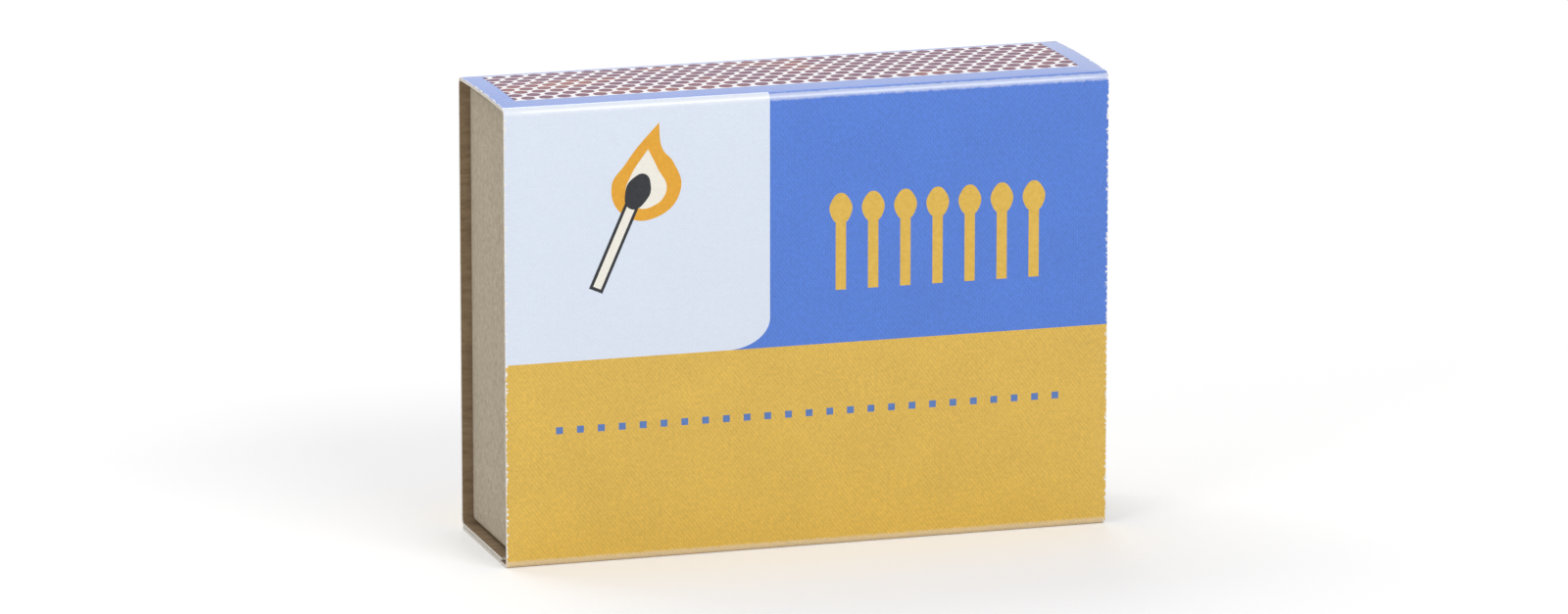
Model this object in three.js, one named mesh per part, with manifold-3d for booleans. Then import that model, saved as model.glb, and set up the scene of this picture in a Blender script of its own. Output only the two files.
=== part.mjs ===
// A household matchbox: a printed card sleeve, a grey board drawer that slides in it, and the matches.
// Millimetres, +Z up. The box stands on one long striking side, with its label towards -Y, as it does on
// a shop shelf. The origin is on the ground, under the middle of the box. The drawer slides along X.
// The box is sized from what it holds: the matches set the drawer, and the drawer sets the sleeve.
import * as THREE from "three";
import { mergeVertices } from "three/addons/utils/BufferGeometryUtils.js";
import Module from "manifold-3d";

// Matches: square aspen splints, dipped at one end
const matchLength = 55;
const splintWidth = 1.85;
const headProud = 0.39; // how far the head stands out past each flat, which covers the splint's corners
const headLength = 4.2;
const headGap = 0.07; // between two heads side by side
const lengthSpread = 0.8; // the shortest match is this much shorter than the longest
const twistDegrees = 4; // most that a match is turned about its own length
const matchesPerRow = 28; // every other row has one fewer, nested between these
const looseRows = 2; // rows nearest the drawer's mouth, each match a piece of its own
const packedRows = 6; // rows behind them, packed tight and drawn as one bundle
const fusedHeadsTop = 1.2; // the bundle's heads run together from this far below their tips
const fusedHeadsBottom = 3.4; // down to this far below them
const bundleGap = 0.3; // between the bundle and the first loose row
const rowEndGap = 0.15; // from the last head of a row to the corner tabs
const tailGap = 0.3; // from the matches' tails to the drawer wall that they stand on
const headRoom = 1.35; // from the longest match's head to the drawer wall above it
const backGap = 0.3; // from the bundle to the drawer's floor
const mouthGap = 0.35; // from the front heads back to the drawer's free edges

// Drawer: one folded sheet of grey board, with the long walls' tabs glued inside the end walls
const boardThickness = 0.45;
const drawerFoldRadius = 0.8;
const tabReach = 9; // how far each corner tab runs along the end wall
const tabSetback = 0.8; // from the drawer's free edge to the tab's edge

// Sleeve: one folded sheet of printed card, with its glue flap under the lower striking side
const cardThickness = 0.45;
const sleeveFoldRadius = 1;
const topCrown = 0.2; // how far the upper side bows out between its folds
const flapStep = 2.2; // from the front wall's inner face to the glue flap's free edge
const seamGroove = 0.35; // the slit where the outer layer's cut edge meets the back fold
const slideClearance = 0.3; // between drawer and sleeve, all round
const drawerInset = 1.2; // the drawer stops this far inside the sleeve at each end

// Facets
const foldSteps = 4; // to a quarter turn of a fold
const headSides = 8; // around a loose match's head
const bundleHeadSides = 6; // around a head of the bundle
const headSteps = 4; // from a head's root to its tip
const crownSteps = 10; // along the upper side's bow

// Worked out from the sizes above
const headDiameter = splintWidth + 2 * headProud;
const matchPitch = headDiameter + headGap;
const rowPitch = matchPitch * Math.sin(Math.PI / 3); // nested rows, each head between two of the next
const rowCount = looseRows + packedRows;
const rowLength = (matchesPerRow - 1) * matchPitch + headDiameter;
const stackDepth = (rowCount - 1) * rowPitch + headDiameter + bundleGap;

const drawerInnerLength = rowLength + 2 * (rowEndGap + boardThickness);
const drawerLength = drawerInnerLength + 2 * boardThickness;
const drawerInnerHeight = tailGap + matchLength + headRoom;
const drawerHeight = drawerInnerHeight + 2 * boardThickness;
const drawerInnerDepth = backGap + stackDepth + mouthGap;
const drawerDepth = drawerInnerDepth + boardThickness;

const flapThickness = cardThickness;
const sleeveLength = drawerLength + 2 * drawerInset;
const sleeveInnerDepth = drawerDepth + 2 * slideClearance;
const sleeveDepth = sleeveInnerDepth + 2 * cardThickness;
const sleeveFloor = cardThickness + flapThickness; // the lower side is two layers thick
const shoulderHeight = sleeveFloor + drawerHeight + 2 * slideClearance + cardThickness;

const drawerBottom = sleeveFloor + slideClearance;
const drawerMouth = -drawerDepth / 2; // the drawer is open towards the label
const drawerFloor = drawerDepth / 2 - boardThickness;
const tailHeight = drawerBottom + boardThickness + tailGap;

const wasm = await Module();
wasm.setup();

// A closed three.js geometry as a solid that can be joined and cut
function solid(geometry) {
  const bare = geometry.clone();
  bare.deleteAttribute("normal");
  bare.deleteAttribute("uv");
  const merged = mergeVertices(bare, 1e-4);
  return new wasm.Manifold(
    new wasm.Mesh({
      numProp: 3,
      vertProperties: merged.attributes.position.array,
      triVerts: new Uint32Array(merged.index.array),
    }),
  );
}

function geometryOf(made) {
  const mesh = made.getMesh();
  const geometry = new THREE.BufferGeometry();
  geometry.setAttribute("position", new THREE.BufferAttribute(mesh.vertProperties, 3));
  geometry.setIndex(new THREE.BufferAttribute(mesh.triVerts, 1));
  geometry.computeVertexNormals();
  return geometry;
}

const group = new THREE.Group();

function addMesh(name, geometry, material) {
  const mesh = new THREE.Mesh(geometry, material);
  mesh.name = name;
  group.add(mesh);
  return mesh;
}

const materials = {
  printedCard: new THREE.MeshStandardMaterial({ color: 0x5b84d9, roughness: 0.45, metalness: 0 }),
  greyBoard: new THREE.MeshStandardMaterial({ color: 0xa69a84, roughness: 0.9, metalness: 0 }),
  aspen: new THREE.MeshStandardMaterial({ color: 0xe6d3a8, roughness: 0.75, metalness: 0 }),
};

// A box between two corners, turned into a geometry in place
function block(low, high) {
  const size = new THREE.Vector3().subVectors(high, low);
  const middle = new THREE.Vector3().addVectors(low, high).multiplyScalar(0.5);
  return new THREE.BoxGeometry(size.x, size.y, size.z).translate(middle.x, middle.y, middle.z);
}

// An outline drawn as (Y, Z) and run along X, centred on X = 0
function runAlongX(shape, length) {
  const geometry = new THREE.ExtrudeGeometry(shape, {
    depth: length,
    bevelEnabled: false,
    curveSegments: foldSteps,
  });
  // The shape's own X, Y and Z become Y, Z and X
  const turn = new THREE.Matrix4().makeBasis(
    new THREE.Vector3(0, 1, 0),
    new THREE.Vector3(0, 0, 1),
    new THREE.Vector3(1, 0, 0),
  );
  return geometry.applyMatrix4(turn).translate(-length / 2, 0, 0);
}

// The sleeve's section, drawn as (Y, Z): four folds, with the upper side bowed out between its two
function sleeveOutline(half, bottom, shoulder, radius) {
  const shape = new THREE.Shape();
  shape.moveTo(-half + radius, bottom);
  shape.lineTo(half - radius, bottom);
  shape.absarc(half - radius, bottom + radius, radius, -Math.PI / 2, 0, false);
  shape.lineTo(half, shoulder - radius);
  shape.absarc(half - radius, shoulder - radius, radius, 0, Math.PI / 2, false);
  for (let step = 1; step < crownSteps; step++) {
    const share = step / crownSteps;
    const across = (half - radius) * (1 - 2 * share);
    shape.lineTo(across, shoulder + topCrown * Math.sin(Math.PI * share));
  }
  shape.lineTo(-half + radius, shoulder);
  shape.absarc(-half + radius, shoulder - radius, radius, Math.PI / 2, Math.PI, false);
  shape.lineTo(-half, bottom + radius);
  shape.absarc(-half + radius, bottom + radius, radius, Math.PI, 1.5 * Math.PI, false);
  return shape;
}

function makeSleeve() {
  const half = sleeveDepth / 2;
  const innerRadius = sleeveFoldRadius - cardThickness;
  const outside = solid(runAlongX(sleeveOutline(half, 0, shoulderHeight, sleeveFoldRadius), sleeveLength));
  const past = 1; // the cutting solids run this far past what they cut
  const inside = sleeveOutline(
    half - cardThickness,
    cardThickness,
    shoulderHeight - cardThickness,
    innerRadius,
  );
  const hollow = solid(runAlongX(inside, sleeveLength + 2 * past));
  const flap = solid(
    block(
      new THREE.Vector3(-sleeveLength / 2, -half + cardThickness + flapStep, cardThickness / 2),
      new THREE.Vector3(sleeveLength / 2, half - cardThickness / 2, sleeveFloor),
    ),
  );
  const groove = solid(
    block(
      new THREE.Vector3(-sleeveLength / 2 - past, half - seamGroove, cardThickness - seamGroove / 2),
      new THREE.Vector3(sleeveLength / 2 + past, half + past, cardThickness + seamGroove / 2),
    ),
  );
  const made = outside.subtract(hollow).add(flap).subtract(groove);
  addMesh("sleeve", geometryOf(made), materials.printedCard);
}

// A tray-shaped lump: round folds at its back edges and corners, cut square at the mouth
function foldedLump(length, height, mouth, back, radius) {
  const shape = new THREE.Shape();
  const halfLength = length / 2 - radius;
  const halfHeight = height / 2 - radius;
  // The bevel puts the radius back, so the outline starts that much smaller
  shape.moveTo(-halfLength, -halfHeight);
  shape.lineTo(halfLength, -halfHeight);
  shape.lineTo(halfLength, halfHeight);
  shape.lineTo(-halfLength, halfHeight);
  shape.closePath();
  const depth = back - mouth;
  const geometry = new THREE.ExtrudeGeometry(shape, {
    depth,
    bevelEnabled: true,
    bevelSize: radius,
    bevelThickness: radius,
    bevelSegments: foldSteps,
  });
  // The shape's own Z runs along -Y here, so it starts at the back and leaves through the mouth
  geometry.rotateX(Math.PI / 2);
  geometry.translate(0, back - radius, drawerBottom + drawerHeight / 2);
  const past = 2 * radius + 1;
  const keep = block(
    new THREE.Vector3(-length, mouth, -past),
    new THREE.Vector3(length, back + past, drawerBottom + drawerHeight + past),
  );
  return solid(geometry).intersect(solid(keep));
}

function makeDrawer() {
  const innerRadius = drawerFoldRadius - boardThickness;
  const past = 1;
  const outside = foldedLump(drawerLength, drawerHeight, drawerMouth, drawerDepth / 2, drawerFoldRadius);
  const pocket = foldedLump(
    drawerInnerLength,
    drawerInnerHeight,
    drawerMouth - past,
    drawerFloor,
    innerRadius,
  );
  let made = outside.subtract(pocket);
  const overlap = boardThickness / 2; // the tabs run this far into the walls, where the glue is
  for (const end of [-1, 1]) {
    for (const side of [-1, 1]) {
      const wallX = (end * drawerInnerLength) / 2;
      const wallZ = drawerBottom + drawerHeight / 2 + (side * drawerInnerHeight) / 2;
      const tabX = [wallX + end * overlap, wallX - end * boardThickness];
      const tabZ = [wallZ + side * overlap, wallZ - side * tabReach];
      const tab = block(
        new THREE.Vector3(Math.min(...tabX), drawerMouth + tabSetback, Math.min(...tabZ)),
        new THREE.Vector3(Math.max(...tabX), drawerFloor + overlap, Math.max(...tabZ)),
      );
      made = made.add(solid(tab));
    }
  }
  addMesh("drawer", geometryOf(made), materials.greyBoard);
}

// The head of a match of that length: a full oval, turned about the match
function headAt(length, sides) {
  const profile = Array.from({ length: headSteps + 1 }, (_, step) => {
    const turn = (Math.PI * step) / headSteps;
    const radius = (headDiameter / 2) * Math.sqrt(Math.max(0, Math.sin(turn)));
    const height = length - (headLength / 2) * (1 + Math.cos(turn));
    return new THREE.Vector2(radius, height);
  });
  // The lathe's own axis is Y, and the match's is Z
  return new THREE.LatheGeometry(profile, sides).rotateX(Math.PI / 2);
}

// One match, standing on its tail at the origin
function matchSolid(length, sides) {
  const half = splintWidth / 2;
  const splint = block(
    new THREE.Vector3(-half, -half, 0),
    new THREE.Vector3(half, half, length - headLength / 2),
  );
  return solid(splint).add(solid(headAt(length, sides)));
}

// A steady number from 0 to 1 for each index, so that no two matches are quite alike
function uneven(index) {
  const goldenShare = (Math.sqrt(5) - 1) / 2;
  return (index * goldenShare) % 1;
}

// Row 0 lies against the drawer's floor. The loose rows are moved off the bundle by its gap.
function rowCentre(row) {
  const opened = row >= packedRows ? bundleGap : 0;
  return drawerFloor - backGap - headDiameter / 2 - row * rowPitch - opened;
}

function rowSize(row) {
  return matchesPerRow - ((rowCount - 1 - row) % 2);
}

function placesInRow(row) {
  const count = rowSize(row);
  return Array.from({ length: count }, (_, i) => (i - (count - 1) / 2) * matchPitch);
}

function makeLooseMatches() {
  for (let row = packedRows; row < rowCount; row++) {
    const label = row === rowCount - 1 ? "front" : "second";
    placesInRow(row).forEach((x, i) => {
      const seed = row * matchesPerRow + i;
      const length = matchLength - lengthSpread * uneven(seed);
      const name = "match_" + label + "_" + String(i + 1).padStart(2, "0");
      const mesh = addMesh(name, geometryOf(matchSolid(length, headSides)), materials.aspen);
      mesh.position.set(x, rowCentre(row), tailHeight);
      mesh.rotation.z = THREE.MathUtils.degToRad(twistDegrees * (2 * uneven(seed * seed) - 1));
    });
  }
}

// The packed rows as one solid: a core with a ridge for each splint of its first row, and that row's heads
function makeBundle() {
  const half = splintWidth / 2;
  const firstRow = packedRows - 1;
  const coreFront = rowCentre(firstRow);
  const coreBack = rowCentre(0) + half;
  const coreLength = rowLength - headDiameter + splintWidth;
  const neck = matchLength - headLength / 2;
  let made = solid(
    block(new THREE.Vector3(-coreLength / 2, coreFront, 0), new THREE.Vector3(coreLength / 2, coreBack, neck)),
  );
  const headsBack = rowCentre(0) + headDiameter / 2;
  const fusedHeads = block(
    new THREE.Vector3(-rowLength / 2, coreFront, matchLength - fusedHeadsBottom),
    new THREE.Vector3(rowLength / 2, headsBack, matchLength - fusedHeadsTop),
  );
  made = made.add(solid(fusedHeads));
  for (const x of placesInRow(firstRow)) {
    const ridge = block(
      new THREE.Vector3(x - half, coreFront - half, 0),
      new THREE.Vector3(x + half, coreFront + half, neck),
    );
    const head = headAt(matchLength, bundleHeadSides).translate(x, coreFront, 0);
    made = made.add(solid(ridge)).add(solid(head));
  }
  const mesh = addMesh("match_bundle", geometryOf(made), materials.aspen);
  mesh.position.z = tailHeight;
}

makeSleeve();
makeDrawer();
makeLooseMatches();
makeBundle();

export default group;
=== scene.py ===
# A household matchbox, finished over its measured frame.
# Metres, Z up. The box stands on its lower striking side with the label towards -Y.
import math
import random
import bmesh
import bpy
from mathutils import Matrix, Vector


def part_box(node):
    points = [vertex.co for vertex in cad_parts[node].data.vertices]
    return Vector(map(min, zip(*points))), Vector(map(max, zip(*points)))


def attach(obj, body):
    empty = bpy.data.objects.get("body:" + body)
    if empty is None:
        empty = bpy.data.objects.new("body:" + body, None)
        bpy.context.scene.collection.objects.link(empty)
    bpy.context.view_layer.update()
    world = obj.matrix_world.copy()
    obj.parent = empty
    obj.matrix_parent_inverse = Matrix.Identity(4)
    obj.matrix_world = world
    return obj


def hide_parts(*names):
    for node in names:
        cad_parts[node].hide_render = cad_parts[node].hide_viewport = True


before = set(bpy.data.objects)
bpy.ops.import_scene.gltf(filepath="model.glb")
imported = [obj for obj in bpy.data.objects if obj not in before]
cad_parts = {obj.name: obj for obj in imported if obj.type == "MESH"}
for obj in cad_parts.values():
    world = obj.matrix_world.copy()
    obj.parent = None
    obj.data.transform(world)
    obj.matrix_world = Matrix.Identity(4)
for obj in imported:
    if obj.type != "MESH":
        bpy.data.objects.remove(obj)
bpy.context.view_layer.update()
mm = 0.001
near = 0.01 * mm  # points this close count as being on the same line
facing = 0.9  # a face counts as looking along an axis when its normal reaches this far along it
print("frame loaded:", len(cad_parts), "nodes")

sleeveLow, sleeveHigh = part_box("sleeve")
drawerLow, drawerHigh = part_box("drawer")


# Small helpers for working in edit mode

# card and board alike: a sharper turn than the bevel's angle, in degrees, gets a soft edge
cardFinish = {
    "bevelSegments": 2,
    "bevelAngle": 50,
    "smoothAngle": 30,
}


def deselectAll():
    bpy.ops.object.select_all(action="DESELECT")


def activate(piece):
    deselectAll()
    piece.select_set(True)
    bpy.context.view_layer.objects.active = piece


def placeInMesh(piece):
    activate(piece)
    bpy.ops.object.transform_apply(location=True, rotation=True, scale=True)


def startEditing(piece, pick):
    activate(piece)
    bpy.ops.object.mode_set(mode="EDIT")
    bpy.ops.mesh.select_mode(type=pick)
    bpy.ops.mesh.select_all(action="DESELECT")


def stopEditing():
    bpy.ops.object.mode_set(mode="OBJECT")


def pickVerts(piece, test):
    cage = bmesh.from_edit_mesh(piece.data)
    for vert in cage.verts:
        vert.select_set(test(vert.co))
    cage.select_flush_mode()
    bmesh.update_edit_mesh(piece.data)


def pickEdges(piece, test):
    cage = bmesh.from_edit_mesh(piece.data)
    for edge in cage.edges:
        edge.select_set(test(edge.verts[0].co, edge.verts[1].co))
    bmesh.update_edit_mesh(piece.data)


def pickFaces(piece, test):
    cage = bmesh.from_edit_mesh(piece.data)
    for face in cage.faces:
        face.select_set(test(face))
    bmesh.update_edit_mesh(piece.data)


def sliceAcross(axis, places):
    # a bisect leaves only the new edges selected, so everything is selected again each time
    direction = [0, 0, 0]
    direction[axis] = 1
    for place in places:
        point = [0, 0, 0]
        point[axis] = place
        bpy.ops.mesh.select_all(action="SELECT")
        bpy.ops.mesh.bisect(plane_co=point, plane_no=direction)


def applyModifiers(piece):
    activate(piece)
    for modifier in list(piece.modifiers):
        bpy.ops.object.modifier_apply(modifier=modifier.name)


def addBevel(piece, width):
    bevel = piece.modifiers.new("softEdge", "BEVEL")
    bevel.width = width
    bevel.segments = cardFinish["bevelSegments"]
    bevel.limit_method = "ANGLE"
    bevel.angle_limit = math.radians(cardFinish["bevelAngle"])


def addWall(piece, name, thickness):
    # gives a sheet its thickness inwards; slot 1 is for its inside and slot 2 for its cut edges
    wall = piece.modifiers.new(name, "SOLIDIFY")
    wall.thickness = thickness
    wall.offset = -1
    wall.use_even_offset = True
    wall.material_offset = 1
    wall.material_offset_rim = 2


def smoothByAngle(piece, angle):
    activate(piece)
    bpy.ops.object.shade_smooth_by_angle(angle=math.radians(angle))


def joinAll(parts, name):
    deselectAll()
    for part in parts:
        part.select_set(True)
    bpy.context.view_layer.objects.active = parts[0]
    bpy.ops.object.join()
    joined = bpy.context.view_layer.objects.active
    joined.name = name
    joined.data.name = name
    return joined


def spread(start, end, count):
    return [start + (end - start) * i / count for i in range(1, count)]


def newBlock(low, high):
    middle = [(a + b) / 2 for a, b in zip(low, high)]
    bpy.ops.mesh.primitive_cube_add(size=1, location=middle)
    block = bpy.context.active_object
    block.scale = [b - a for a, b in zip(low, high)]
    placeInMesh(block)
    return block


# Materials. Their dictionaries give a noise as scale, detail and roughness, a range as the values
# between which a noise turns one ink into the next (and the shares there, if not 0 and 1), and a
# bump as strength and depth. Lengths without a unit are in millimetres.

def ink(code):
    # a screen colour written as six hex digits, turned into the linear values that sockets take
    parts = [int(code[i:i + 2], 16) / 255 for i in (0, 2, 4)]
    return [p / 12.92 if p <= 0.04045 else ((p + 0.055) / 1.055) ** 2.4 for p in parts] + [1]


def newMaterial(name, roughness, specular=0.5):
    material = bpy.data.materials.new(name)
    material.use_nodes = True
    shader = material.node_tree.nodes["Principled BSDF"]
    shader.inputs["Roughness"].default_value = roughness
    shader.inputs["Specular IOR Level"].default_value = specular
    return material, material.node_tree, shader


def addNode(tree, kind, sockets=None, **settings):
    node = tree.nodes.new("ShaderNode" + kind)
    for key, value in settings.items():
        setattr(node, key, value)
    for key, value in (sockets or {}).items():
        if isinstance(value, bpy.types.NodeSocket):
            tree.links.new(value, node.inputs[key])
        else:
            node.inputs[key].default_value = value
    return node


def calc(tree, operation, a, b=0.0):
    return addNode(tree, "Math", {0: a, 1: b}, operation=operation).outputs[0]


def bothOf(tree, a, b):
    return calc(tree, "MULTIPLY", a, b)


def blendInk(tree, share, a, b):
    return addNode(tree, "Mix", {0: share, 6: a, 7: b}, data_type="RGBA").outputs[2]


def millimetres(tree, stretch=(1, 1, 1)):
    # object coordinates in millimetres, so patterns can be given at their real size
    place = addNode(tree, "TexCoord").outputs["Object"]
    scale = [1 / mm * s for s in stretch]
    return addNode(tree, "Mapping", {"Vector": place, "Scale": scale}).outputs[0]


def noise(tree, place, scale, detail, roughness):
    sockets = {"Vector": place, "Scale": scale, "Detail": detail, "Roughness": roughness}
    return addNode(tree, "TexNoise", sockets).outputs["Fac"]


def wave(tree, place, scale, waver, detail, direction):
    sockets = {"Vector": place, "Scale": scale, "Distortion": waver, "Detail": detail}
    return addNode(tree, "TexWave", sockets, bands_direction=direction).outputs["Fac"]


def remap(tree, value, fromLow, fromHigh, toLow=0.0, toHigh=1.0):
    sockets = {0: value, 1: fromLow, 2: fromHigh, 3: toLow, 4: toHigh}
    return addNode(tree, "MapRange", sockets).outputs[0]


def eitherWay(tree, pattern, reach):
    # most of a noise lies between 0.3 and 0.7
    return remap(tree, pattern, 0.3, 0.7, -reach, reach)


def addBump(tree, shader, height, strength, distance):
    sockets = {"Height": height, "Strength": strength, "Distance": distance}
    bump = addNode(tree, "Bump", sockets)
    tree.links.new(bump.outputs[0], shader.inputs["Normal"])


sleeveSizes = {
    "card": 0.45 * mm,
    "glueLine": 0.03 * mm,  # between the two layers of the lower side
    "foldRadius": 1.0 * mm,
    "foldSteps": 7,
    "crown": 0.2 * mm,  # bow of the upper side
    "flapStep": 2.2 * mm,
    "seamBack": 0.45 * mm,  # from the back panel to the outer layer's cut edge
    "softEdge": 0.06 * mm,
    "cutsAcross": 14,
    "cutsAlong": 16,
    "cutsUp": 12,
}

printLook = {
    "white": "D9E2F1",
    "blue": "4074D2",
    "gold": "D9B03E",
    "stripGround": "F2F0F3",
    "creaseAndHighlight": "F3F6FC",  # pale band along the folds: partly ink stretched by the fold, partly a painted highlight
    "board": "EFEDEA",  # what shows where the print has chipped
    "bandTop": 26.5,  # height of the gold band
    "whiteEdge": -5.2,  # where the white field meets the blue, along X
    "cornerAcross": 5.6,  # its rounded lower corner, wider than high
    "cornerUp": 3.9,
    "whiteOverFold": 0.8,  # how far over the top fold the white reaches
    "stripEnd": 37.4,  # half the length of the striking strip
    "stripFront": 4.2,  # from the front panel to the strip
    "stripBack": 1.7,
    "sideDepth": 1.0,  # what lies this near the top or bottom is on a narrow side
    "halftone": 0.42,  # from one row of printed dots to the next
    "halftoneSlant": 38,  # degrees
    "halftoneWaver": 1.2,
    "mottle": 0.1,  # how much the ink varies over a dot or two
    "mottleNoise": (2.3, 3.0, 0.6),
    "cloud": 0.03,  # and over a few centimetres
    "cloudNoise": (0.12, 2.0, 0.5),
    "bareShare": 0.2,  # how much of that is left where there is little ink
    "creaseHighlightLean": 0.32,  # the crease band with its painted highlight lies this much nearer the wide panel than the fold's middle
    "creaseHighlightWidth": 0.8,
    "creaseHighlightShare": 0.55,
    "creaseHighlightNoise": (1.1, 4.0, 0.7),
    "creaseHighlightRagged": 0.12,
    "lowerCreaseHighlight": 0.5,  # the lower folds show this much of the crease band; its painted highlight is strongest on the top folds
    "chipReach": 0.35,  # how far in from a cut end the chips reach
    "chipNoise": (2.1, 4.0, 0.7),
    "chipRange": (0.47, 0.63),
    "roughness": 0.34,
    "varnish": 0.7,
    "varnishRoughness": 0.16,
}

linenLook = {
    "threads": (0.9, 1.5, 2.0),  # scale, waver and detail of the pressed threads
    "swell": (0.05, 1.0, 0.5),  # long soft waves in the card under them
    "swellHeight": 9.0,
    "bump": (0.12, 0.1 * mm),
}


def printFields(tree, x, y, z):
    # the printed fields, and where there is little ink on them
    look = printLook
    front, back, top = sleeveLow.y / mm, sleeveHigh.y / mm, sleeveHigh.z / mm
    inBand = calc(tree, "LESS_THAN", z, look["bandTop"])
    fields = blendInk(tree, inBand, ink(look["blue"]), ink(look["gold"]))
    # white field on the left of each wide panel, with one corner rounded
    toRight = bothOf(tree, x, calc(tree, "SIGN", calc(tree, "MULTIPLY", y, -1.0)))
    across = remap(tree, toRight, look["whiteEdge"] - look["cornerAcross"], look["whiteEdge"])
    down = remap(tree, z, look["bandTop"] + look["cornerUp"], look["bandTop"])
    squares = calc(tree, "ADD", calc(tree, "POWER", across, 2.0), calc(tree, "POWER", down, 2.0))
    inPanel = bothOf(tree, calc(tree, "LESS_THAN", toRight, look["whiteEdge"]),
                     calc(tree, "GREATER_THAN", z, look["bandTop"]))
    inOutline = bothOf(tree, inPanel, calc(tree, "LESS_THAN", squares, 1.0))
    onPanel = calc(tree, "GREATER_THAN", calc(tree, "ABSOLUTE", y), back - look["whiteOverFold"])
    inWhite = bothOf(tree, inOutline, onPanel)
    fields = blendInk(tree, inWhite, fields, ink(look["white"]))
    # unprinted ground under the striking dots, on both narrow sides
    inLength = calc(tree, "LESS_THAN", calc(tree, "ABSOLUTE", x), look["stripEnd"])
    inDepth = bothOf(tree, calc(tree, "GREATER_THAN", y, front + look["stripFront"]),
                     calc(tree, "LESS_THAN", y, back - look["stripBack"]))
    fromMiddle = calc(tree, "ABSOLUTE", calc(tree, "SUBTRACT", z, top / 2))
    onNarrowSide = calc(tree, "GREATER_THAN", fromMiddle, top / 2 - look["sideDepth"])
    inStrip = bothOf(tree, bothOf(tree, inLength, inDepth), onNarrowSide)
    fields = blendInk(tree, inStrip, fields, ink(look["stripGround"]))
    return fields, calc(tree, "MAXIMUM", inWhite, inStrip)


def printMottle(tree, place, fields, bare):
    # diagonal halftone rows with uneven ink over them, faint where there is little ink
    look = printLook
    turn = (0, math.radians(look["halftoneSlant"]), 0)
    slant = addNode(tree, "Mapping", {"Vector": place, "Rotation": turn}).outputs[0]
    bandStep = 2 * math.pi / 20  # from one band to the next in a wave texture of scale 1
    rows = wave(tree, slant, bandStep / look["halftone"], look["halftoneWaver"], 1.0, "X")
    uneven = noise(tree, place, *look["mottleNoise"])
    cloud = noise(tree, place, *look["cloudNoise"])
    shade = calc(tree, "ADD", eitherWay(tree, uneven, look["mottle"]), eitherWay(tree, cloud, look["cloud"]))
    shade = calc(tree, "ADD", shade, remap(tree, rows, 0.0, 1.0, -look["mottle"] / 2, look["mottle"] / 2))
    inked = remap(tree, bare, 0.0, 1.0, 1.0, look["bareShare"])
    value = calc(tree, "ADD", 1.0, bothOf(tree, shade, inked))
    return addNode(tree, "HueSaturation", {"Value": value, "Color": fields}).outputs[0]


# a pale band along the long folds, partly ink stretched by the fold and partly a painted highlight
def printCreasesAndHighlights(tree, place, y, z, colour):
    # at a fold's middle, a point is as far in from the wide panel as from the narrow side
    look = printLook
    middle = (sleeveLow.y + sleeveHigh.y) / 2 / mm
    halfDepth = (sleeveHigh.y - sleeveLow.y) / 2 / mm
    shoulder = (sleeveHigh.z - sleeveSizes["crown"]) / mm
    toPanel = calc(tree, "SUBTRACT", halfDepth, calc(tree, "ABSOLUTE", calc(tree, "SUBTRACT", y, middle)))
    toSide = calc(tree, "MINIMUM", z, calc(tree, "SUBTRACT", shoulder, z))
    lean = calc(tree, "SUBTRACT", calc(tree, "SUBTRACT", toSide, toPanel), look["creaseHighlightLean"])
    apart = calc(tree, "ABSOLUTE", lean)
    ragged = eitherWay(tree, noise(tree, place, *look["creaseHighlightNoise"]), look["creaseHighlightRagged"])
    share = remap(tree, calc(tree, "ADD", apart, ragged), look["creaseHighlightWidth"] / 2, look["creaseHighlightWidth"],
                  look["creaseHighlightShare"], 0.0)
    # painted highlight: the band is fullest on the top folds, where the light falls, and weaker on the lower
    # folds
    paintedHighlightByHeight = remap(tree, z, look["bandTop"], shoulder, look["lowerCreaseHighlight"], 1.0)
    return blendInk(tree, bothOf(tree, share, paintedHighlightByHeight), colour, ink(look["creaseAndHighlight"]))


def printChips(tree, place, x, colour):
    # bare board where the print has chipped along the cut ends
    look = printLook
    toEnd = calc(tree, "SUBTRACT", sleeveHigh.x / mm, calc(tree, "ABSOLUTE", x))
    level = remap(tree, toEnd, 0.0, look["chipReach"], *look["chipRange"])
    chipped = calc(tree, "GREATER_THAN", noise(tree, place, *look["chipNoise"]), level)
    nearEnd = calc(tree, "LESS_THAN", toEnd, look["chipReach"])
    return blendInk(tree, bothOf(tree, chipped, nearEnd), colour, ink(look["board"]))


def makePrintedCard():
    look = printLook
    material, tree, shader = newMaterial("printedCard", look["roughness"])
    place = millimetres(tree)
    x, y, z = addNode(tree, "SeparateXYZ", {0: place}).outputs
    fields, bare = printFields(tree, x, y, z)
    colour = printMottle(tree, place, fields, bare)
    # pale crease band with a painted highlight along the folds
    colour = printCreasesAndHighlights(tree, place, y, z, colour)
    colour = printChips(tree, place, x, colour)
    tree.links.new(colour, shader.inputs["Base Color"])
    shader.inputs["Coat Weight"].default_value = look["varnish"]
    shader.inputs["Coat Roughness"].default_value = look["varnishRoughness"]
    linen = calc(tree, "ADD", *[wave(tree, place, *linenLook["threads"], way) for way in ("X", "Z")])
    swell = calc(tree, "MULTIPLY", noise(tree, place, *linenLook["swell"]), linenLook["swellHeight"])
    addBump(tree, shader, calc(tree, "ADD", linen, swell), *linenLook["bump"])
    return material


# the inks are the base, the dark and the light one
boards = {
    "kraftInside": {"inks": ("857057", "6F5B43", "A08A6C"), "fibreScale": 1.4, "roughness": 0.85},
    "greyBoard": {"inks": ("AFA38F", "938672", "C6BBA8"), "fibreScale": 1.8, "roughness": 0.9},
}

boardLook = {
    "specular": 0.25,
    "fibreLength": (0.25, 1, 1),  # the fibres are drawn out along X
    "fibreDetail": (6.0, 0.7),
    "fibreRange": (0.35, 0.65),
    "patches": (0.35, 3.0, 0.5),
    "patchRange": (0.2, 0.8, 0.35, 0.65),
    "specks": (3.1, 2.0, 0.8),
    "speckRange": (0.66, 0.72, 0.0, 0.5),
    "bump": (0.35, 0.05 * mm),
}


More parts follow.
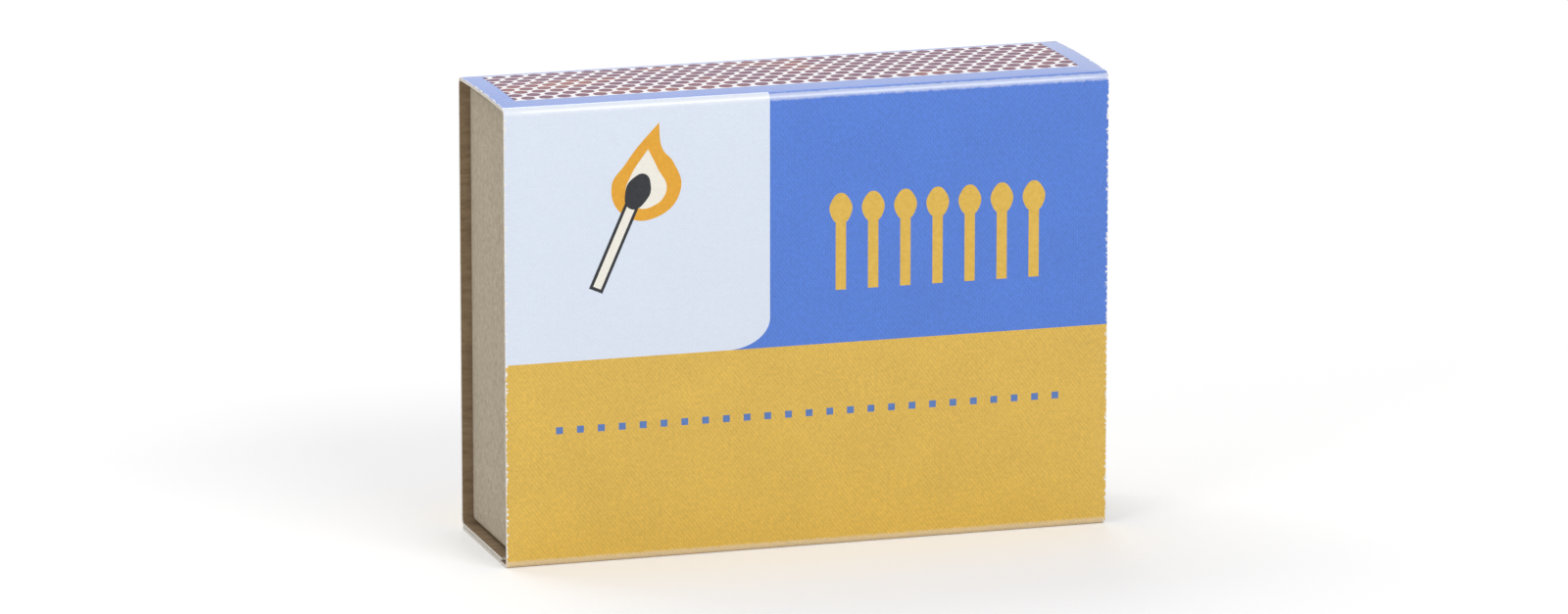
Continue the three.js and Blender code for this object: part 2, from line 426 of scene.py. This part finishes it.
def makeFibreBoard(name):
    look = boardLook
    board = boards[name]
    base, dark, light = [ink(code) for code in board["inks"]]
    material, tree, shader = newMaterial(name, board["roughness"], look["specular"])
    place = millimetres(tree)
    drawnOut = millimetres(tree, look["fibreLength"])
    fibres = noise(tree, drawnOut, board["fibreScale"], *look["fibreDetail"])
    patches = noise(tree, place, *look["patches"])
    specks = noise(tree, place, *look["specks"])
    tone = blendInk(tree, remap(tree, fibres, *look["fibreRange"]), dark, light)
    tone = blendInk(tree, remap(tree, patches, *look["patchRange"]), tone, base)
    tone = blendInk(tree, remap(tree, specks, *look["speckRange"]), tone, dark)
    tree.links.new(tone, shader.inputs["Base Color"])
    addBump(tree, shader, fibres, *look["bump"])
    return material


# the dark and the light ink of each mottled material
mottledInks = {
    "cutEdge": ("B9B0A2", "EDEAE4"),
    "matchHead": ("6B3E30", "96614B"),
    "goldInk": ("D6AC42", "E2BA52"),
    "flameInk": ("DC9C24", "E8A92C"),
    "darkInk": ("14161C", "23262E"),
    "paleInk": ("EBE7DB", "F1EEE4"),
    "ruleInk": ("4E72B2", "5B7FBE"),
}

cutEdgeLook = {
    "grains": (4.0, 4.0, 0.7),
    "grainRange": (0.35, 0.65),
    "roughness": 0.8,
    "specular": 0.3,
    "bump": (0.4, 0.04 * mm),
}

headLook = {
    "grains": (4.5, 4.0, 0.7),
    "grainRange": (0.35, 0.65),
    "roughness": 0.55,
    "specular": 0.4,
    "bump": (0.6, 0.08 * mm),
}

labelLook = {
    "grains": (2.6, 3.0, 0.6),
    "grainRange": (0.3, 0.7),
    "roughness": printLook["roughness"],
    "specular": 0.5,
    "bump": (0.06, 0.05 * mm),
}


def makeMottled(name, look):
    dark, light = [ink(code) for code in mottledInks[name]]
    material, tree, shader = newMaterial(name, look["roughness"], look["specular"])
    grains = noise(tree, millimetres(tree), *look["grains"])
    tone = blendInk(tree, remap(tree, grains, *look["grainRange"]), dark, light)
    tree.links.new(tone, shader.inputs["Base Color"])
    addBump(tree, shader, grains, *look["bump"])
    return material


strikingLook = {
    "inks": ("724E61", "8E697E", "A66E64"),  # dark, light and rusty
    "grit": (5.5, 3.0, 0.7),
    "gritRange": (0.3, 0.7),
    "patchLength": (0.5, 1, 1),
    "patches": (0.16, 3.0, 0.6),
    "patchRange": (0.5, 0.68, 0.0, 0.75),
    "roughness": 0.62,
    "specular": 0.35,
    "bump": (0.5, 0.03 * mm),
}


def makeStrikingInk():
    look = strikingLook
    dark, light, rusty = [ink(code) for code in look["inks"]]
    material, tree, shader = newMaterial("strikingInk", look["roughness"], look["specular"])
    grit = noise(tree, millimetres(tree), *look["grit"])
    patches = noise(tree, millimetres(tree, look["patchLength"]), *look["patches"])
    tone = blendInk(tree, remap(tree, grit, *look["gritRange"]), dark, light)
    tone = blendInk(tree, remap(tree, patches, *look["patchRange"]), tone, rusty)
    tree.links.new(tone, shader.inputs["Base Color"])
    addBump(tree, shader, grit, *look["bump"])
    return material


aspenLook = {
    "inks": ("D9C393", "EFDFB9", "B99A62"),  # dark, light and the grain's
    "splintLength": (1, 1, 0.01),  # hardly changes along a splint, so each has its own tone
    "splints": (0.9, 0.0, 0.5),
    "splintRange": (0.3, 0.7),
    "grainLength": (1, 1, 0.06),
    "grain": (3.2, 4.0, 0.65),
    "grainRange": (0.45, 0.7, 0.0, 0.45),
    "roughness": 0.68,
    "specular": 0.3,
    "bump": (0.4, 0.05 * mm),
}


def makeAspen():
    look = aspenLook
    dark, light, line = [ink(code) for code in look["inks"]]
    material, tree, shader = newMaterial("aspen", look["roughness"], look["specular"])
    splints = noise(tree, millimetres(tree, look["splintLength"]), *look["splints"])
    grain = noise(tree, millimetres(tree, look["grainLength"]), *look["grain"])
    tone = blendInk(tree, remap(tree, splints, *look["splintRange"]), dark, light)
    tone = blendInk(tree, remap(tree, grain, *look["grainRange"]), tone, line)
    tree.links.new(tone, shader.inputs["Base Color"])
    addBump(tree, shader, grain, *look["bump"])
    return material


printedCard = makePrintedCard()
kraftInside = makeFibreBoard("kraftInside")
greyBoard = makeFibreBoard("greyBoard")
cutEdge = makeMottled("cutEdge", cutEdgeLook)
strikingInk = makeStrikingInk()
goldInk = makeMottled("goldInk", labelLook)
flameInk = makeMottled("flameInk", labelLook)
darkInk = makeMottled("darkInk", labelLook)
paleInk = makeMottled("paleInk", labelLook)
ruleInk = makeMottled("ruleInk", labelLook)
aspen = makeAspen()
headMix = makeMottled("matchHead", headLook)
print("materials made")


# The sleeve: one sheet folded round from its glue flap to the outer lower panel

def makeSleeve():
    sizes = sleeveSizes
    front, back = sleeveLow.y, sleeveHigh.y
    shoulder = sleeveHigh.z - sizes["crown"]
    flapHeight = sizes["card"] + sizes["glueLine"]
    flapEdge = front + sizes["card"] + sizes["flapStep"]
    bpy.ops.mesh.primitive_plane_add(size=1, location=(0, (flapEdge + back) / 2, flapHeight))
    sheet = bpy.context.active_object
    sheet.name = "cardSleeve"
    sheet.scale = (sleeveHigh.x - sleeveLow.x, back - flapEdge, 1)
    placeInMesh(sheet)
    startEditing(sheet, "EDGE")
    pickEdges(sheet, lambda a, b: a.y > back - near and b.y > back - near)
    folds = [(back, flapHeight), (back, shoulder), (front, shoulder), (front, 0)]
    corners = folds[1:] + [(back - sizes["seamBack"], 0)]
    here = folds[0]
    for corner in corners:
        step = (0, corner[0] - here[0], corner[1] - here[1])
        bpy.ops.mesh.extrude_region_move(TRANSFORM_OT_translate={"value": step})
        here = corner

    def onFold(a, b):
        atCorner = any(abs(a.y - y) < near and abs(a.z - z) < near for y, z in folds)
        return atCorner and abs(a.x - b.x) > near

    pickEdges(sheet, onFold)
    bpy.ops.mesh.bevel(offset=sizes["foldRadius"], segments=sizes["foldSteps"], affect="EDGES")
    inner = back - sizes["foldRadius"]
    rows = spread(-inner, inner, sizes["cutsAcross"])
    sliceAcross(1, rows)
    sliceAcross(0, spread(sleeveLow.x, sleeveHigh.x, sizes["cutsAlong"]))
    sliceAcross(2, spread(sizes["foldRadius"] * 2, shoulder - sizes["foldRadius"] * 2, sizes["cutsUp"]))
    bpy.ops.mesh.select_mode(type="VERT")
    for row in rows:
        pickVerts(sheet, lambda p: abs(p.y - row) < near and abs(p.z - shoulder) < near)
        rise = sizes["crown"] * math.cos(math.pi * row / (2 * inner))
        bpy.ops.transform.translate(value=(0, 0, rise))
    bpy.ops.mesh.select_all(action="SELECT")
    bpy.ops.mesh.normals_make_consistent(inside=False)
    stopEditing()
    topFace = max(sheet.data.polygons, key=lambda face: face.center.z)
    if topFace.normal.z < 0:
        startEditing(sheet, "FACE")
        bpy.ops.mesh.select_all(action="SELECT")
        bpy.ops.mesh.flip_normals()
        stopEditing()
    for material in (printedCard, kraftInside, cutEdge):
        sheet.data.materials.append(material)
    addWall(sheet, "card", sizes["card"])
    addBevel(sheet, sizes["softEdge"])
    applyModifiers(sheet)
    smoothByAngle(sheet, cardFinish["smoothAngle"])
    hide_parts("sleeve")
    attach(sheet, "sleeve")
    return sheet


cardSleeve = makeSleeve()
print("sleeve folded:", len(cardSleeve.data.polygons), "faces")


# Striking dots: six-sided spots of friction ink in nested rows

stripSizes = {
    "pitch": 2.36 * mm,
    "rows": 9,
    "rowStep": 1.74 * mm,  # the dots are flattened to suit it
    "width": 1.8 * mm,  # across a dot's flats
    "thickness": 0.05 * mm,
    "sunk": 0.01 * mm,
    "roundness": 0.16 * mm,
    "topShare": 0.93,  # a dot's top is this much of its foot
}


def makeOneDot():
    sizes = stripSizes
    radius = sizes["width"] / 2 / math.cos(math.pi / 6)
    bpy.ops.mesh.primitive_cylinder_add(vertices=6, radius=radius, depth=sizes["thickness"])
    dot = bpy.context.active_object
    dot.scale.y = sizes["rowStep"] / (sizes["pitch"] * math.cos(math.pi / 6))
    placeInMesh(dot)
    startEditing(dot, "EDGE")
    pickEdges(dot, lambda a, b: abs(a.z - b.z) > near)
    bpy.ops.mesh.bevel(offset=sizes["roundness"], segments=1, affect="EDGES")
    pickFaces(dot, lambda face: face.normal.z > facing)
    bpy.ops.transform.resize(value=(sizes["topShare"], sizes["topShare"], 1))
    stopEditing()
    dot.data.materials.append(strikingInk)
    return dot


def makeStrip(name, side):
    # side is 1 for the upper side and -1 for the lower
    sizes = stripSizes
    model = makeOneDot()
    front = sleeveLow.y + printLook["stripFront"] * mm
    back = sleeveHigh.y - printLook["stripBack"] * mm
    firstRow = (front + back) / 2 - sizes["rowStep"] * (sizes["rows"] - 1) / 2
    end = printLook["stripEnd"] * mm
    lift = sizes["thickness"] / 2 - sizes["sunk"]
    count = math.ceil(end / sizes["pitch"]) + 1
    dots = []
    for row in range(sizes["rows"]):
        y = firstRow + row * sizes["rowStep"]
        nesting = 0.5 * (row % 2)
        for column in range(-count, count + 1):
            x = (column + nesting) * sizes["pitch"]
            if abs(x) > end + sizes["width"] / 2:
                continue
            outside = Vector((x, y, side + sleeveHigh.z / 2))
            hit, point, normal, _ = cardSleeve.ray_cast(outside, Vector((0, 0, -side)))
            if not hit:
                continue
            tilt = Vector((0, 0, 1)).rotation_difference(normal)
            dot = model.copy()
            dot.data = model.data.copy()
            bpy.context.scene.collection.objects.link(dot)
            dot.data.transform(Matrix.Translation(point + normal * lift) @ tilt.to_matrix().to_4x4())
            dots.append(dot)
    bpy.data.objects.remove(model)
    strip = joinAll(dots, name)
    startEditing(strip, "FACE")
    for sign in (-1, 1):
        bpy.ops.mesh.select_all(action="SELECT")
        bpy.ops.mesh.bisect(plane_co=(sign * end, 0, 0), plane_no=(sign, 0, 0),
                            clear_outer=True, use_fill=True)
    stopEditing()
    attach(strip, "sleeve")
    return strip


# rays are cast on the finished sleeve, before any dot stands on it
bpy.context.view_layer.update()
upperStrip = makeStrip("upperStrikingDots", 1)
lowerStrip = makeStrip("lowerStrikingDots", -1)
stripFaces = [len(strip.data.polygons) for strip in (upperStrip, lowerStrip)]
print("striking strips printed:", stripFaces, "faces")


# Label: a plain drawing of a burning match, a row of small match signs and a dotted line

labelSizes = {
    "ink": 0.02 * mm,  # thickness of the printed shapes
    "sunk": 0.008 * mm,
    "curveSteps": 10,
    "drawingMiddle": (-22.5 * mm, 45.3 * mm),
    "drawingHeight": 20.9 * mm,
    "matchLean": -24,  # degrees
    "matchShift": (-0.06, 0),  # in units of the drawing's height, as the next
    "flameShift": (0.02, 0.02),
    "signCount": 7,
    "signFirst": 4.2 * mm,
    "signStep": 4.3 * mm,
    "signBottom": 33.4 * mm,
    "signHeight": 12.6 * mm,
    "ruleHeight": 17.6 * mm,  # a dotted line across the gold band
    "ruleEnd": 33.0 * mm,
    "ruleStep": 2.75 * mm,
    "ruleDot": 0.9 * mm,
}

# points are x, z and kind, in units of the drawing's or sign's height; kind V turns a sharp corner
drawingShapes = {
    "flame": [(0.10, -0.06, "A"), (0.245, 0.10, "A"), (0.20, 0.27, "A"), (0.13, 0.36, "A"), (0.11, 0.52, "V"),
              (-0.04, 0.36, "A"), (-0.10, 0.28, "V"), (-0.19, 0.14, "A"), (-0.11, -0.04, "A")],
    "glow": [(0.05, 0.00, "A"), (0.155, 0.10, "A"), (0.10, 0.24, "A"), (0.04, 0.36, "V"), (-0.07, 0.20, "A"),
             (-0.10, 0.10, "A"), (-0.04, 0.01, "A")],
    "stickOutline": [(-0.045, -0.52, "V"), (0.045, -0.52, "V"), (0.045, 0.12, "V"), (-0.045, 0.12, "V")],
    "stickWood": [(-0.026, -0.50, "V"), (0.026, -0.50, "V"), (0.026, 0.10, "V"), (-0.026, 0.10, "V")],
    "head": [(0, 0.02, "A"), (0.075, 0.12, "A"), (0.06, 0.20, "A"), (0, 0.25, "A"), (-0.06, 0.20, "A"),
             (-0.075, 0.12, "A")],
    "signStick": [(-0.055, 0, "V"), (0.055, 0, "V"), (0.055, 0.74, "V"), (-0.055, 0.74, "V")],
    "signHead": [(0, 0.68, "A"), (0.115, 0.80, "A"), (0.085, 0.94, "A"), (0, 1, "A"), (-0.085, 0.94, "A"),
                 (-0.115, 0.80, "A")],
}


def flatShape(name, outline, material, layer=0):
    # outline is a list of x, z and kind, in metres on the front panel
    curve = bpy.data.curves.new(name, "CURVE")
    curve.dimensions = "2D"
    curve.fill_mode = "BOTH"
    curve.resolution_u = labelSizes["curveSteps"]
    curve.extrude = labelSizes["ink"] / 2
    spline = curve.splines.new("BEZIER")
    spline.bezier_points.add(len(outline) - 1)
    for knot, (x, z, kind) in zip(spline.bezier_points, outline):
        knot.co = (x, z, 0)
        knot.handle_left_type = "VECTOR" if kind == "V" else "AUTO"
        knot.handle_right_type = knot.handle_left_type
    spline.use_cyclic_u = True
    shape = bpy.data.objects.new(name, curve)
    bpy.context.scene.collection.objects.link(shape)
    activate(shape)
    bpy.ops.object.convert(target="MESH")
    shape = bpy.context.active_object
    lift = labelSizes["ink"] / 2 - labelSizes["sunk"] + layer * labelSizes["ink"] / 2
    shape.rotation_euler = (math.pi / 2, 0, 0)
    shape.location = (0, sleeveLow.y - lift, 0)
    placeInMesh(shape)
    shape.data.materials.append(material)
    return shape


def turned(points, middle, angle, size):
    # a shape's points at their real size, turned about and moved to middle
    cosine, sine = math.cos(angle), math.sin(angle)
    return [(middle[0] + size * (x * cosine - z * sine), middle[1] + size * (x * sine + z * cosine), kind)
            for x, z, kind in points]


def makeDrawing():
    middle = labelSizes["drawingMiddle"]
    size = labelSizes["drawingHeight"]
    lean = math.radians(labelSizes["matchLean"])
    foot = [m + size * shift for m, shift in zip(middle, labelSizes["matchShift"])]
    tip = [m + size * shift for m, shift in zip(middle, labelSizes["flameShift"])]
    layers = [
        ("flame", flameInk, tip, 0),
        ("glow", paleInk, tip, 0),
        ("stickOutline", darkInk, foot, lean),
        ("stickWood", paleInk, foot, lean),
        ("head", darkInk, foot, lean),
    ]
    shapes = []
    for layer, (name, material, place, angle) in enumerate(layers):
        outline = turned(drawingShapes[name], place, angle, size)
        shapes.append(flatShape(name, outline, material, layer))
    return joinAll(shapes, "labelDrawing")


def makeSigns():
    sizes = labelSizes
    shapes = []
    for i in range(sizes["signCount"]):
        foot = (sizes["signFirst"] + i * sizes["signStep"], sizes["signBottom"])
        for layer, name in enumerate(("signStick", "signHead")):
            outline = turned(drawingShapes[name], foot, 0, sizes["signHeight"])
            shapes.append(flatShape(name, outline, goldInk, layer))
    return joinAll(shapes, "labelSigns")


def makeRule():
    sizes = labelSizes
    half = sizes["ruleDot"] / 2
    end = sizes["ruleEnd"]
    low, high = sizes["ruleHeight"] - half, sizes["ruleHeight"] + half
    shapes = []
    for x in [-end, *spread(-end, end, round(2 * end / sizes["ruleStep"])), end]:
        dot = [(x - half, low, "V"), (x + half, low, "V"), (x + half, high, "V"), (x - half, high, "V")]
        shapes.append(flatShape("ruleDot", dot, ruleInk))
    return joinAll(shapes, "labelRule")


for printed in (makeDrawing(), makeSigns(), makeRule()):
    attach(printed, "sleeve")
print("label printed")


# The drawer: one folded sheet of grey board, open towards the label

drawerSizes = {
    "board": 0.45 * mm,
    "foldRadius": 0.8 * mm,
    "foldSteps": 5,
    "tabReach": 9.0 * mm,
    "tabSetback": 0.8 * mm,
    "softEdge": 0.05 * mm,
    "cutsAlong": 12,
    "cutsUp": 8,
}


def makeTab(end, side):
    # a glued corner tab; end and side are -1 or 1, along X and Z
    sizes = drawerSizes
    board = sizes["board"]
    overlap = board / 3  # how far the tab is sunk in the walls
    wallX = end * (drawerHigh.x - board)
    wallZ = (drawerHigh.z - board) if side > 0 else (drawerLow.z + board)
    xs = sorted((wallX + end * overlap, wallX - end * board))
    zs = sorted((wallZ + side * overlap, wallZ - side * sizes["tabReach"]))
    tab = newBlock((xs[0], drawerLow.y + sizes["tabSetback"], zs[0]),
                   (xs[1], drawerHigh.y - board + overlap, zs[1]))
    tab.data.materials.append(greyBoard)
    addBevel(tab, sizes["softEdge"])
    applyModifiers(tab)
    return tab


def makeDrawer():
    sizes = drawerSizes
    tray = newBlock(drawerLow, drawerHigh)
    tray.name = "boardDrawer"
    startEditing(tray, "FACE")
    pickFaces(tray, lambda face: face.normal.y < -facing)
    bpy.ops.mesh.delete(type="ONLY_FACE")
    bpy.ops.mesh.select_mode(type="EDGE")
    pickEdges(tray, lambda a, b: max(a.y, b.y) > drawerLow.y + near)
    bpy.ops.mesh.bevel(offset=sizes["foldRadius"], segments=sizes["foldSteps"], affect="EDGES")
    sliceAcross(0, spread(drawerLow.x, drawerHigh.x, sizes["cutsAlong"]))
    sliceAcross(2, spread(drawerLow.z, drawerHigh.z, sizes["cutsUp"]))
    stopEditing()
    for material in (greyBoard, greyBoard, cutEdge):
        tray.data.materials.append(material)
    addWall(tray, "board", sizes["board"])
    addBevel(tray, sizes["softEdge"])
    applyModifiers(tray)
    tabs = [makeTab(end, side) for end in (-1, 1) for side in (-1, 1)]
    drawer = joinAll([tray] + tabs, "boardDrawer")
    smoothByAngle(drawer, cardFinish["smoothAngle"])
    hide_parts("drawer")
    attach(drawer, "drawer")
    return drawer


boardDrawer = makeDrawer()
print("drawer folded:", len(boardDrawer.data.polygons), "faces")


# Matches: a few slightly different ones, copied to every place in the drawer

matchSizes = {
    "splint": 1.85 * mm,
    "head": 2.63 * mm,
    "headLength": 4.2 * mm,
    "length": 55.0 * mm,
    "variants": 6,
    "fine": (16, 12, 5),  # sides and rings of the head, and cuts along the splint
    "plain": (8, 6, 2),
    "bend": 0.12 * mm,
    "twist": 4,  # degrees
    "softEdge": 0.1 * mm,
    "edgeVaries": (0.7, 1.4),
    "swells": ((0.36, 1.07), (-0.36, 1.05)),  # a dipped head is fuller near its ends than an egg
    "swellReach": 0.16,
    "headSmooth": 60,
    "matchSmooth": 40,
}
chance = random.Random(11)


def makeMatch(name, headSides, headRings, cuts):
    sizes = matchSizes
    half = sizes["splint"] / 2
    neck = sizes["length"] - sizes["headLength"] / 2
    match = newBlock((-half, -half, 0), (half, half, neck))
    match.name = name
    startEditing(match, "EDGE")
    pickEdges(match, lambda a, b: abs(a.z - b.z) > near)
    softEdge = sizes["softEdge"] * chance.uniform(*sizes["edgeVaries"])
    bpy.ops.mesh.bevel(offset=softEdge, segments=1, affect="EDGES")
    levels = spread(0, neck, cuts)
    sliceAcross(2, levels)
    bpy.ops.mesh.select_mode(type="VERT")
    for level in levels:
        pickVerts(match, lambda p: abs(p.z - level) < near)
        sway = sizes["bend"] * math.sin(math.pi * level / neck)
        bpy.ops.transform.translate(value=(sway * chance.uniform(-1, 1), sway * chance.uniform(-1, 1), 0))
    stopEditing()
    match.data.materials.append(aspen)
    bpy.ops.mesh.primitive_uv_sphere_add(segments=headSides, ring_count=headRings, radius=1,
                                         location=(0, 0, neck))
    head = bpy.context.active_object
    head.scale = (sizes["head"] / 2, sizes["head"] / 2, sizes["headLength"] / 2)
    placeInMesh(head)
    startEditing(head, "VERT")
    for share, swell in sizes["swells"]:
        level = neck + share * sizes["headLength"]
        pickVerts(head, lambda p: abs(p.z - level) < sizes["headLength"] * sizes["swellReach"])
        bpy.ops.transform.resize(value=(swell, swell, 1), center_override=(0, 0, level))
    stopEditing()
    head.data.materials.append(headMix)
    smoothByAngle(head, sizes["headSmooth"])
    return match, head


def uniteMatch(match, head):
    # the head is joined to the splint as one closed skin
    join = match.modifiers.new("dip", "BOOLEAN")
    join.operation = "UNION"
    join.object = head
    join.solver = "EXACT"
    join.material_mode = "TRANSFER"
    applyModifiers(match)
    bpy.data.objects.remove(head)
    smoothByAngle(match, matchSizes["matchSmooth"])
    return match


def makeModels(name, detail):
    return [uniteMatch(*makeMatch(name, *detail)) for i in range(matchSizes["variants"])]


def copyMatch(model, name, x, y, tail, length, angle):
    copy = model.copy()
    copy.data = model.data.copy()
    copy.name = name
    copy.data.name = name
    bpy.context.scene.collection.objects.link(copy)
    stretch = length - matchSizes["length"]
    for vert in copy.data.vertices:
        if vert.co.z > matchSizes["length"] / 2:
            vert.co.z += stretch
    copy.data.transform(Matrix.Translation((x, y, tail)) @ Matrix.Rotation(angle, 4, "Z"))
    return copy


def quarterTurn():
    twist = matchSizes["twist"]
    return math.pi / 2 * chance.randrange(4) + math.radians(chance.uniform(-twist, twist))


def makeLooseMatches(models):
    nodes = sorted(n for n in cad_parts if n.startswith(("match_front", "match_second")))
    for node in nodes:
        low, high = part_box(node)
        middle = (low + high) / 2
        row, number = node.split("_")[1:]
        match = copyMatch(chance.choice(models), row + "Match" + number, middle.x, middle.y, low.z,
                          high.z - low.z, quarterTurn())
        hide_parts(node)
        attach(match, "drawer")
    return len(nodes)


packSizes = {
    "rows": 6,
    "frontCount": 28,  # every other row has one fewer
    "spread": 0.8 * mm,  # how much their lengths vary
}


def makePackedMatches(models):
    low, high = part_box("match_bundle")
    radius = matchSizes["head"] / 2
    rowStep = (high.y - low.y - 2 * radius) / (packSizes["rows"] - 1)
    pitch = (high.x - low.x - 2 * radius) / (packSizes["frontCount"] - 1)
    copies = []
    for row in range(packSizes["rows"]):
        count = packSizes["frontCount"] - row % 2
        for i in range(count):
            x = (i - (count - 1) / 2) * pitch
            y = low.y + radius + row * rowStep
            length = high.z - low.z - packSizes["spread"] * chance.random()
            copies.append(copyMatch(chance.choice(models), "packedMatch", x, y, low.z, length, quarterTurn()))
    pack = joinAll(copies, "packedMatches")
    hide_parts("match_bundle")
    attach(pack, "drawer")
    return len(copies)


fineModels = makeModels("fineMatch", matchSizes["fine"])
looseCount = makeLooseMatches(fineModels)
plainModels = makeModels("plainMatch", matchSizes["plain"])
packedCount = makePackedMatches(plainModels)
for model in fineModels + plainModels:
    bpy.data.objects.remove(model)
print("matches placed:", looseCount, "loose and", packedCount, "packed")


# Floor, light and camera

studio = {
    "floor": "F4F4F4",
    "floorRoughness": 0.9,
    "floorSpecular": 0.1,
    "floorSize": 8,
    "nearGlow": 0.16,  # of the floor round the box, which keeps its shadow
    "farGlow": 0.6,  # of the floor past the lamps' reach
    "nearReach": 0.3,
    "farReach": 1.3,
    "worldStrength": 0.5,
    "cameraTurn": -17,  # degrees to the left of the label
    "cameraRise": 13,  # degrees above the floor
    "cameraDistance": 1.2,
    "aim": (0.0, 0.0, 0.029),
    "lens": 215,
    "sensorWidth": 36,
    "clipStart": 0.01,
}

# the key light stands where the top front fold mirrors it to the camera
softboxes = {
    "keySoftbox": {"place": (0.38, -0.92, 0.8), "width": 0.8, "height": 0.45, "power": 5.4},
    "topSoftbox": {"place": (-0.15, 0.6, 0.75), "width": 0.9, "height": 0.5, "power": 3.2},
    "fillSoftbox": {"place": (-0.95, -0.6, 0.4), "width": 0.5, "height": 0.5, "power": 2.6},
}


def seenRays(tree):
    # rays from the camera, also by way of a gloss or through something clear
    rays = addNode(tree, "LightPath").outputs
    mirrored = calc(tree, "MAXIMUM", rays["Is Glossy Ray"], rays["Is Transmission Ray"])
    return calc(tree, "MAXIMUM", rays["Is Camera Ray"], mirrored)


def makeFloor():
    bpy.ops.mesh.primitive_plane_add(size=studio["floorSize"], location=(0, 0, 0))
    floor = bpy.context.active_object
    floor.name = "studioFloor"
    material, tree, shader = newMaterial("studioPaper", studio["floorRoughness"], studio["floorSpecular"])
    shader.inputs["Base Color"].default_value = ink(studio["floor"])
    # the paper glows for the camera and in reflections, so that it reads as white
    place = addNode(tree, "TexCoord").outputs["Object"]
    away = addNode(tree, "VectorMath", {0: place}, operation="LENGTH").outputs["Value"]
    glow = remap(tree, away, studio["nearReach"], studio["farReach"], studio["nearGlow"], studio["farGlow"])
    shader.inputs["Emission Color"].default_value = (1, 1, 1, 1)
    tree.links.new(bothOf(tree, seenRays(tree), glow), shader.inputs["Emission Strength"])
    floor.data.materials.append(material)


def makeWorld():
    world = bpy.data.worlds.new("studioWorld")
    bpy.context.scene.world = world
    world.use_nodes = True
    tree = world.node_tree
    strength = remap(tree, seenRays(tree), 0.0, 1.0, studio["worldStrength"], 1.0)
    background = tree.nodes["Background"]
    background.inputs["Color"].default_value = (1, 1, 1, 1)
    tree.links.new(strength, background.inputs["Strength"])


def addSoftbox(name, box):
    light = bpy.data.lights.new(name, "AREA")
    light.shape = "RECTANGLE"
    light.size = box["width"]
    light.size_y = box["height"]
    light.energy = box["power"]
    softbox = bpy.data.objects.new(name, light)
    bpy.context.scene.collection.objects.link(softbox)
    softbox.location = box["place"]
    towards = Vector(studio["aim"]) - Vector(box["place"])
    softbox.rotation_euler = towards.to_track_quat("-Z", "Y").to_euler()


def makeCamera():
    camera = bpy.data.objects.new("camera", bpy.data.cameras.new("camera"))
    bpy.context.scene.collection.objects.link(camera)
    turn, rise = math.radians(studio["cameraTurn"]), math.radians(studio["cameraRise"])
    away = Vector((math.sin(turn) * math.cos(rise), -math.cos(turn) * math.cos(rise), math.sin(rise)))
    camera.location = Vector(studio["aim"]) + away * studio["cameraDistance"]
    camera.rotation_euler = (-away).to_track_quat("-Z", "Y").to_euler()
    camera.data.lens = studio["lens"]
    camera.data.sensor_width = studio["sensorWidth"]
    camera.data.clip_start = studio["clipStart"]
    bpy.context.scene.camera = camera


makeFloor()
makeWorld()
for name, box in softboxes.items():
    addSoftbox(name, box)
makeCamera()
bpy.context.scene.view_settings.view_transform = "Standard"
print("studio lit")
